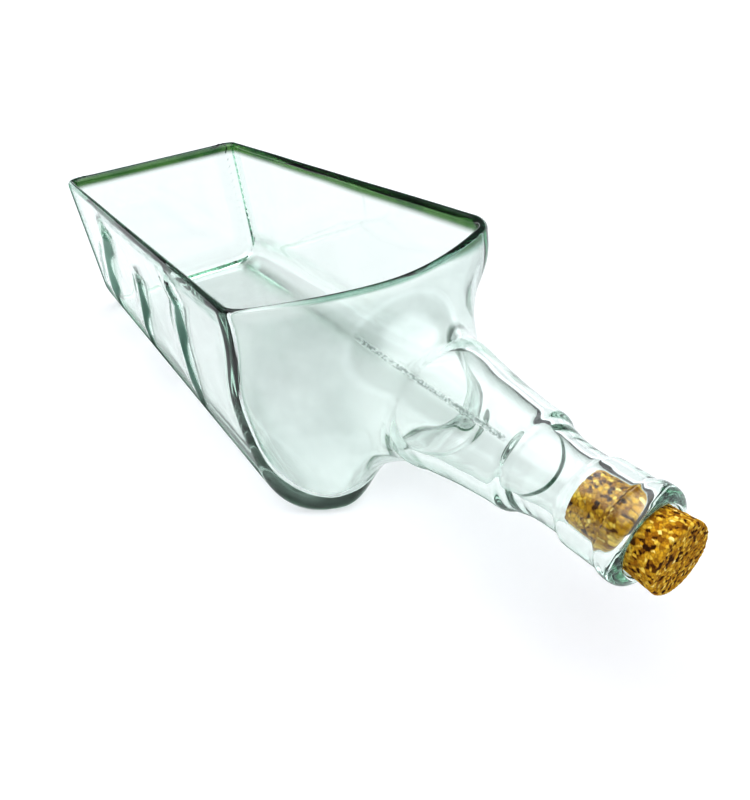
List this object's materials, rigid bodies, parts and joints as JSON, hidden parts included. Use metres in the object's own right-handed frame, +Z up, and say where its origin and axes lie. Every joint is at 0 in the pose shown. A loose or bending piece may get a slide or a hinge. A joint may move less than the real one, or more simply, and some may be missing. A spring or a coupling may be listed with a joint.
{
  "type": "bottle planter",
  "caption": "Trough planter of clear glass: a rectangular bottle lying on its side with the upper side cut away, its neck kept and closed by a pull-out cork stopper.",
  "frame": {"origin": "on the table, below the middle of the outline that bottle and cork cover", "axes": "+X along the neck axis towards the mouth, +Z up out of the open trough, +Y across the trough"},
  "size_m": [0.3114, 0.0884, 0.066],
  "materials": {
    "clear_glass": "clear moulded glass with a very pale green tint, deeper green in the ground rim",
    "cork": "agglomerated cork, matt golden-brown granules with dark specks"
  },
  "bodies": {
    "bottle": {"glass_trough": "clear_glass"},
    "cork": {"cork_stopper": "cork"}
  },
  "joints": [
    {"name": "cork_pull", "type": "slide", "parent": "bottle", "child": "cork", "axis": [1, 0, 0], "range_m": [0, 0.04]}
  ]
}
